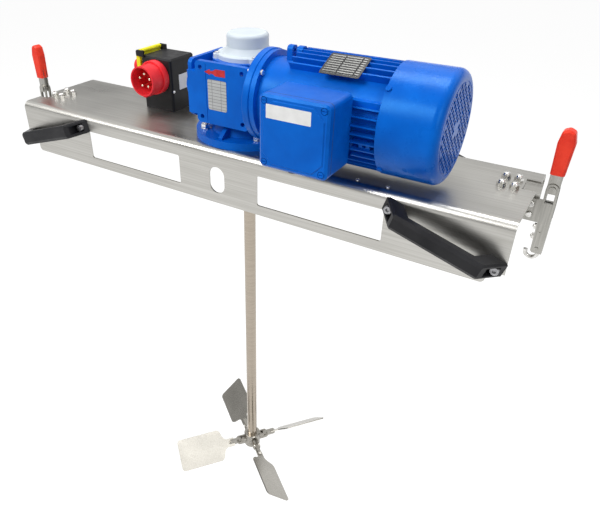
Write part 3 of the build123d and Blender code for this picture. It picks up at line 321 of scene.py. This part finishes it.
vinyl = new_finish("dipped_red_vinyl", (0.86, 0.048, 0.022), roughness=0.32, specular=0.2)
tint(vinyl, grain(vinyl, 0.02, detail=3.0), (0.78, 0.036, 0.018), (0.90, 0.058, 0.028))
gloss(vinyl, grain(vinyl, 0.012, detail=3.0, start=1.0), 0.26, 0.42)
relief(vinyl, grain(vinyl, 0.0030, detail=1.0), 0.00010, 0.5)
dress(vinyl, "clamp_grip_left", "clamp_grip_right")

# --------------------------------------------------------------------------------- worm gearbox
# Aluminium castings under a thick coat of gloss blue enamel: the ribbed foot, the drum with its
# foot plate and the cover on the worm's blind end.  The enamel keeps the casting's soft skin.
enamel = (0.0006, 0.108, 0.550)
enamel_deep = (0.0004, 0.096, 0.510)
enamel_clear = (0.0009, 0.122, 0.600)


def blue_enamel(name, skin_cell, skin_height, smooth, rough):
    """Gloss enamel; skin_cell and skin_height are the size and depth of the surface under it."""
    finish = new_finish(name, enamel, roughness=smooth, specular=0.38)
    shader_of(finish).inputs["Specular Tint"].default_value = (0.16, 0.62, 1.0, 1)
    tint(finish, grain(finish, 0.045, detail=3.0), enamel_deep, enamel_clear)
    gloss(finish, grain(finish, 0.02, detail=3.0, start=6.0), smooth, rough)
    relief(finish, grain(finish, skin_cell, detail=3.0), skin_height, 0.7)
    relief(finish, grain(finish, 0.0011, detail=1.0, start=2.0), 0.00002, 0.5)
    return finish


cast_enamel = blue_enamel("blue_enamel_on_casting", 0.0060, 0.00022, 0.30, 0.44)
dress(cast_enamel, "output_flange", "gear_housing", "worm_end_cover", "drive_end_shield",
      "motor_frame", "rear_end_shield")

# ------------------------------------------------------------------------------ gearbox plates
# A bare silver rating plate of printed aluminium with an empty ruled table, and above it a plain
# red arrow that shows which way the shaft turns.  Both are stuck to the foot plate.
foot_x, foot_y, foot_z = next(mount["pos_m"] for mount in frame["record"]["mounts"]
                              if mount["name"] == "foot_plate_holes")
label_right, label_up = (1, 0, 0), (0, 0, 1)


def rounded_outline(width, height, corner, steps=7):
    """Rounded rectangle about its centre, anticlockwise: each corner is a quarter circle."""
    turn = np.linspace(0, np.pi / 2, steps)
    runs = []
    for quarter, (sx, sy) in enumerate(((1, 1), (-1, 1), (-1, -1), (1, -1))):
        angle = turn + quarter * np.pi / 2
        middle = (sx * (width / 2 - corner), sy * (height / 2 - corner))
        runs.append(np.c_[middle[0] + corner * np.cos(angle), middle[1] + corner * np.sin(angle)])
    return np.concatenate(runs)


def walls_and_ends(count, levels):
    """Faces of a closed stack of rings with count points each: its walls, then its two ends.

    Wall k between rings k and k+1 has the corners i, i+1, i+1+count and i+count, all plus k count."""
    here = np.arange(count)
    following = (here + 1) % count
    wall = np.c_[here, following, following + count, here + count]
    faces = [list(map(int, corners)) for k in range(levels - 1) for corners in wall + k * count]
    faces.append([int(i) for i in here[::-1]])
    faces.append([int(i) + (levels - 1) * count for i in here])
    return faces


def thin_plate(name, outline, thickness, centre, right, up, edge=0.0002):
    """Closed plate: the outline stands on its seat, rises to its face and is drawn in by edge.

    The outline's u runs along right and its v along up; the face looks along right x up."""
    right, up = (np.array(v, float) / np.linalg.norm(v) for v in (right, up))
    out = np.cross(right, up)
    count = len(outline)
    size = np.abs(outline).max(axis=0)
    levels = ((0.0, 0.0), (thickness - edge, 0.0), (thickness, edge))
    rings = []
    for height, inset in levels:
        flat = outline * (1 - inset / size)
        rings.append(np.array(centre) + flat[:, :1] * right + flat[:, 1:] * up + height * out)
    return sheet_object(name, np.concatenate(rings), walls_and_ends(count, len(levels)))


def ruled_print(name, ground, ink, across, down, cell, row, line):
    """Printed plate: an empty ruled table, its rows running across and its columns down.

    Every second cell is a little darker than the ground, as worn print is."""
    darker = 0.88
    finish = new_finish(name, ground, metallic=0.6, roughness=0.35)
    tree = finish.node_tree
    where = tree.nodes.new("ShaderNodeTexCoord")
    split = tree.nodes.new("ShaderNodeSeparateXYZ")
    join = tree.nodes.new("ShaderNodeCombineXYZ")
    tree.links.new(where.outputs["Object"], split.inputs[0])
    tree.links.new(split.outputs[across], join.inputs["X"])
    tree.links.new(split.outputs[down], join.inputs["Y"])
    table = tree.nodes.new("ShaderNodeTexBrick")
    table.offset = 0.0
    table.inputs["Scale"].default_value = 1.0
    table.inputs["Brick Width"].default_value = cell
    table.inputs["Row Height"].default_value = row
    table.inputs["Mortar Size"].default_value = line
    table.inputs["Mortar Smooth"].default_value = 0.1
    table.inputs["Color1"].default_value = (*ground, 1)
    table.inputs["Color2"].default_value = (*[darker * c for c in ground], 1)
    table.inputs["Mortar"].default_value = (*ink, 1)
    tree.links.new(join.outputs[0], table.inputs["Vector"])
    tree.links.new(table.outputs["Color"], shader_of(finish).inputs["Base Color"])
    gloss(finish, grain(finish, 0.008, detail=3.0), 0.28, 0.46)
    return finish


def fix(piece, material, body):
    """Dress a new piece with its material and tie it to its body."""
    piece.data.materials.append(material)
    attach(piece, body)


rating_width, rating_height, rating_corner, rating_thickness = 0.040, 0.054, 0.0035, 0.0006
rating_middle = (foot_x - 0.0085, foot_y, foot_z - 0.001)
rating_column, rating_row, rating_line = 0.0190, 0.0056, 0.0004
rating_print = ruled_print("rating_plate_print", (0.47, 0.48, 0.48), (0.16, 0.16, 0.16), "X", "Z",
                           rating_column, rating_row, rating_line)
rating_plate = thin_plate("gearbox_rating_plate",
                          rounded_outline(rating_width, rating_height, rating_corner),
                          rating_thickness, rating_middle, label_right, label_up)
fix(rating_plate, rating_print, "root")

sticker = 0.0004
sticker_edge = 0.0001
arrow_middle = (foot_x - 0.0125, foot_y, foot_z + 0.038)
arrow_right = (1, 0, 0.02)
arrow_tail, arrow_waist, arrow_neck, arrow_barb, arrow_tip = 0.022, 0.002, -0.004, -0.010, -0.022
arrow_outline = np.array([
    (arrow_tail, 0.0065), (arrow_waist, 0.0065), (arrow_neck, 0.0030), (arrow_barb, 0.0026),
    (arrow_barb, 0.0055), (arrow_tip, 0.0), (arrow_barb, -0.0045), (arrow_barb, -0.0018),
    (arrow_neck, -0.0022), (arrow_waist, -0.0055), (arrow_tail, -0.0055)])
sticker_red = new_finish("sticker_red", (0.55, 0.030, 0.035), roughness=0.45, specular=0.2)
tint(sticker_red, grain(sticker_red, 0.006, detail=3.0), (0.46, 0.024, 0.03), (0.60, 0.04, 0.045))
turning_arrow = thin_plate("turning_arrow", arrow_outline, sticker, arrow_middle, arrow_right, label_up,
                           sticker_edge)
fix(turning_arrow, sticker_red, "root")

# ----------------------------------------------------------------------------- output shaft cap
# Moulded grey cover over the hollow shaft's top, with a soft satin skin and slight flow marks.
cap_plastic = new_finish("moulded_grey", (0.61, 0.675, 0.72), roughness=0.36, specular=0.3)
tint(cap_plastic, grain(cap_plastic, 0.05, (1, 1, 0.5), 3.0), (0.585, 0.65, 0.695), (0.64, 0.70, 0.745))
gloss(cap_plastic, grain(cap_plastic, 0.02, detail=3.0, start=7.0), 0.30, 0.46)
relief(cap_plastic, grain(cap_plastic, 0.0012, detail=1.0), 0.00004, 0.5)
dress(cap_plastic, "top_cap")

# ------------------------------------------------------------------------------- inside the gears
# Ground shafts and worm, a cast bronze wheel, bearings and black rubber seals.
ground_steel = new_finish("ground_shaft_steel", (0.56, 0.56, 0.57), metallic=1.0, roughness=0.22)
tint(ground_steel, grain(ground_steel, 0.0015, (12, 12, 1), 2.0), (0.48, 0.48, 0.49), (0.62, 0.62, 0.63))
gloss(ground_steel, grain(ground_steel, 0.01, detail=3.0, start=1.0), 0.16, 0.30)
dress(ground_steel, "hollow_output_shaft", "worm", "motor_shaft")

bearing_steel = new_finish("bearing_steel", (0.62, 0.62, 0.64), metallic=1.0, roughness=0.18)
tint(bearing_steel, grain(bearing_steel, 0.006, detail=2.0), (0.54, 0.54, 0.56), (0.68, 0.68, 0.70))
gloss(bearing_steel, grain(bearing_steel, 0.004, detail=2.0, start=2.0), 0.12, 0.26)
dress(bearing_steel, "gear_bearings", "motor_bearings")

bronze = new_finish("cast_bronze", (0.62, 0.38, 0.17), metallic=1.0, roughness=0.34)
tint(bronze, grain(bronze, 0.012, detail=4.0), (0.50, 0.29, 0.12), (0.70, 0.44, 0.21))
gloss(bronze, grain(bronze, 0.005, detail=3.0, start=3.0), 0.26, 0.44)
dress(bronze, "worm_wheel")

rubber = new_finish("seal_rubber", (0.022, 0.022, 0.022), roughness=0.65)
tint(rubber, grain(rubber, 0.01, detail=3.0), (0.016, 0.016, 0.016), (0.034, 0.034, 0.034))
gloss(rubber, grain(rubber, 0.006, detail=2.0, start=2.0), 0.55, 0.75)
dress(rubber, "shaft_seals", "lid_gasket")

# ----------------------------------------------------------------------------- motor and its cowl
# The barrel and shields are cast; the fan's cowl is pressed from sheet, so its enamel is smoother.
pressed_enamel = blue_enamel("blue_enamel_on_sheet", 0.0200, 0.00008, 0.26, 0.34)
dress(pressed_enamel, "fan_cowl")

fan_plastic = new_finish("fan_plastic", (0.03, 0.03, 0.032), roughness=0.5)
tint(fan_plastic, grain(fan_plastic, 0.02, detail=3.0), (0.022, 0.022, 0.024), (0.045, 0.045, 0.048))
gloss(fan_plastic, grain(fan_plastic, 0.01, detail=2.0, start=4.0), 0.42, 0.58)
dress(fan_plastic, "fan", "terminal_board", "cable_gland")

laminations = new_finish("stacked_laminations", (0.26, 0.26, 0.27), metallic=0.8, roughness=0.45)
tint(laminations, grain(laminations, 0.0006, (1, 40, 40), 1.0), (0.16, 0.16, 0.17), (0.34, 0.34, 0.35))
gloss(laminations, grain(laminations, 0.01, detail=2.0, start=1.0), 0.36, 0.55)
dress(laminations, "stator_core", "rotor_core")

winding = new_finish("varnished_copper", (0.52, 0.17, 0.07), metallic=0.7, roughness=0.3)
tint(winding, grain(winding, 0.0012, (1, 8, 8), 2.0), (0.38, 0.11, 0.045), (0.62, 0.23, 0.10))
relief(winding, grain(winding, 0.0012, (1, 8, 8), 1.0), 0.0003, 0.8)
dress(winding, "stator_windings")

# ------------------------------------------------------------------------------ motor nameplate
# A black-edged aluminium plate with an empty ruled table, riveted across the tips of the fins.
shaft_low, shaft_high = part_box("motor_shaft")
motor_axis = (shaft_low + shaft_high) / 2
barrel_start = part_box("motor_frame")[0][0]
fin_reach = 0.0850
sunk = 0.0006
plate_tilt = np.radians(24.0)
tilt_out = np.array((0, -np.sin(plate_tilt), np.cos(plate_tilt)))
tilt_up = np.array((0, np.cos(plate_tilt), np.sin(plate_tilt)))
backing_seat = np.array((barrel_start + 0.098, *motor_axis[1:])) + (fin_reach - sunk) * tilt_out
backing_width, backing_height, backing_corner, backing_thickness = 0.066, 0.050, 0.003, 0.0008
face_width, face_height, face_corner, face_lift = 0.059, 0.043, 0.002, 0.0007
face_column, face_row, face_line = 0.0280, 0.0048, 0.0014

black_print = new_finish("nameplate_black", (0.012, 0.012, 0.012), roughness=0.35)
tint(black_print, grain(black_print, 0.01, detail=2.0), (0.008, 0.008, 0.008), (0.025, 0.025, 0.025))
backing = thin_plate("motor_nameplate_edge", rounded_outline(backing_width, backing_height, backing_corner),
                     backing_thickness, backing_seat, label_right, tilt_up)
fix(backing, black_print, "root")
silver_print = ruled_print("nameplate_silver", (0.28, 0.28, 0.27), (0.015, 0.015, 0.015), "X", "Y",
                           face_column, face_row, face_line)
face = thin_plate("motor_nameplate_face", rounded_outline(face_width, face_height, face_corner), sticker,
                  backing_seat + face_lift * tilt_out, label_right, tilt_up, sticker_edge)
fix(face, silver_print, "root")

# --------------------------------------------------------------------------------- terminal box
# Cast box and lid in the same enamel, which also covers the screws of the lid and the cowl.  A
# bare white label is stuck on the lid's raised panel.
lid_enamel = blue_enamel("blue_enamel_on_lid", 0.0075, 0.00016, 0.30, 0.42)
dress(lid_enamel, "terminal_box", "terminal_lid", "motor_screws")

label_white = new_finish("label_white", (0.80, 0.80, 0.79), roughness=0.38)
tint(label_white, grain(label_white, 0.02, detail=3.0), (0.76, 0.76, 0.75), (0.84, 0.84, 0.83))
gloss(label_white, grain(label_white, 0.01, detail=2.0, start=2.0), 0.30, 0.46)
lid_low, lid_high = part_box("terminal_lid")
lid_label_width, lid_label_height, lid_label_corner, lid_label_thickness = 0.0745, 0.0210, 0.0012, 0.0002
lid_label_middle = (lid_low[0] + 0.0505, lid_low[1] + 0.0001, lid_high[2] - 0.0235)
lid_label = thin_plate("lid_label", rounded_outline(lid_label_width, lid_label_height, lid_label_corner),
                       lid_label_thickness, lid_label_middle, label_right, label_up, sticker_edge)
fix(lid_label, label_white, "root")

# ------------------------------------------------------------------------------ switch and inlet
# Black moulded switch box in two halves, a red five-pole inlet in front and, on the far side, a
# yellow flap with the red stop button.  A bare white label is stuck on the side by the gearbox.
switch_black = new_finish("switch_black", (0.010, 0.010, 0.012), roughness=0.4, specular=0.2)
tint(switch_black, grain(switch_black, 0.03, detail=3.0), (0.008, 0.008, 0.009), (0.016, 0.016, 0.018))
gloss(switch_black, grain(switch_black, 0.02, detail=3.0, start=5.0), 0.32, 0.48)
relief(switch_black, grain(switch_black, 0.0008, detail=1.0), 0.00005, 0.6)
dress(switch_black, "switch_base", "switch_housing")

moulded_red = new_finish("moulded_red", (0.82, 0.030, 0.042), roughness=0.35, specular=0.2)
tint(moulded_red, grain(moulded_red, 0.03, detail=3.0), (0.76, 0.024, 0.034), (0.86, 0.038, 0.050))
gloss(moulded_red, grain(moulded_red, 0.01, detail=2.0, start=2.0), 0.28, 0.44)
dress(moulded_red, "power_inlet", "inlet_carrier", "stop_mushroom", "stop_button")

pin_brass = new_finish("nickelled_brass", (0.80, 0.72, 0.55), metallic=1.0, roughness=0.22)
tint(pin_brass, grain(pin_brass, 0.004, detail=2.0), (0.72, 0.62, 0.44), (0.86, 0.80, 0.66))
dress(pin_brass, "inlet_pins")

moulded_yellow = new_finish("moulded_yellow", (0.90, 0.84, 0.02), roughness=0.38, specular=0.25)
tint(moulded_yellow, grain(moulded_yellow, 0.02, detail=3.0), (0.80, 0.72, 0.015), (0.90, 0.84, 0.03))
gloss(moulded_yellow, grain(moulded_yellow, 0.01, detail=2.0, start=2.0), 0.30, 0.46)
dress(moulded_yellow, "stop_flap")

moulded_green = new_finish("moulded_green", (0.03, 0.32, 0.08), roughness=0.38)
tint(moulded_green, grain(moulded_green, 0.008, detail=3.0), (0.024, 0.27, 0.065), (0.04, 0.37, 0.10))
dress(moulded_green, "start_button")

switch_low, switch_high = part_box("switch_housing")
side_label_width, side_label_height, side_label_corner = 0.034, 0.031, 0.001
side_label_middle = (switch_high[0], switch_low[1] + 0.044, switch_low[2] + 0.022)
side_label = thin_plate("switch_side_label",
                        rounded_outline(side_label_width, side_label_height, side_label_corner),
                        sticker, side_label_middle, (0, 1, 0), label_up, sticker_edge)
fix(side_label, label_white, "root")

# ------------------------------------------------------------------------------- small screws
# Zinc-plated pan-head screws: two in the beam's top sheet below the motor's terminal box, and one
# that closes the switch box at its near corner.  Each is a turned head seated on its sheet.
screw_steps = 24
beam_screw_places = ((0.2705, -0.0905), (0.3227, -0.0905))
beam_screw_radius, beam_screw_height = 0.0032, 0.0022
corner_screw_place = (switch_high[0], switch_low[1] + 0.0085, switch_low[2] + 0.0065)
corner_screw_radius, corner_screw_height = 0.0030, 0.0018


def pan_head(name, seat_point, axis, radius, height):
    """Turned head: rings stand on the seat, rise at full radius and close over in a quarter arc.

    The arc's rings have radius r cos(a) and height h/2 + h/2 sin(a), for a from 0 to 72 degrees,
    and a flat top closes the last."""
    axis = np.array(axis, float)
    slanted = (0.3, 0.5, 0.8)
    side = np.cross(axis, slanted)
    side /= np.linalg.norm(side)
    third = np.cross(axis, side)
    turn = np.linspace(0, 2 * np.pi, screw_steps, endpoint=False)
    rise = np.radians((0, 25, 50, 72))
    levels = [(radius, 0.0)] + [(radius * np.cos(a), height / 2 * (1 + np.sin(a))) for a in rise]
    rings = [np.array(seat_point) + r * np.outer(np.cos(turn), side) + r * np.outer(np.sin(turn), third)
             + h * axis for r, h in levels]
    piece = sheet_object(name, np.concatenate(rings), walls_and_ends(screw_steps, len(levels)))
    piece.data.shade_smooth()
    return piece


sheet_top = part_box("cross_beam")[1][2]
for number, place in enumerate(beam_screw_places, 1):
    beam_screw = pan_head(f"beam_screw_{number}", (*place, sheet_top), (0, 0, 1), beam_screw_radius,
                          beam_screw_height)
    fix(beam_screw, zinc, "root")
corner_screw = pan_head("switch_corner_screw", corner_screw_place, (1, 0, 0), corner_screw_radius,
                        corner_screw_height)
fix(corner_screw, zinc, "root")

# --------------------------------------------------------------------- agitator shaft and blades
# Ground stainless shaft with turning lines round it, and a hub with four hinged blades whose
# faces are brushed along the blade.
# The shaft's warm beige tone is a painted reflection of beige surroundings; the ground steel itself is
# grey.
shaft_steel = new_finish("agitator_shaft_painted_beige_reflection", (0.44, 0.38, 0.31), metallic=1.0, roughness=0.2)
tint(shaft_steel, grain(shaft_steel, 0.0018, (20, 20, 1), 2.0), (0.385, 0.335, 0.275), (0.435, 0.38, 0.315))
gloss(shaft_steel, grain(shaft_steel, 0.05, (1, 1, 3), 3.0, 5.0), 0.16, 0.28)
relief(shaft_steel, grain(shaft_steel, 0.0009, (20, 20, 1), 1.0), 0.00002, 0.5)
dress(shaft_steel, "agitator_shaft")

hub_steel = new_finish("hub_steel", (0.36, 0.34, 0.30), metallic=1.0, roughness=0.24)
tint(hub_steel, grain(hub_steel, 0.003, detail=3.0), (0.27, 0.255, 0.225), (0.42, 0.40, 0.36))
gloss(hub_steel, grain(hub_steel, 0.005, detail=2.0, start=2.0), 0.16, 0.34)
dress(hub_steel, "impeller_hub")

blade_steel = brushed_steel("blade_brushed_steel", (0.34, 0.325, 0.29), (0.42, 0.405, 0.37), (1, 1, 1),
                            0.20, 0.32)
dress(blade_steel, *[f"blade_{number}" for number in range(1, 5)])
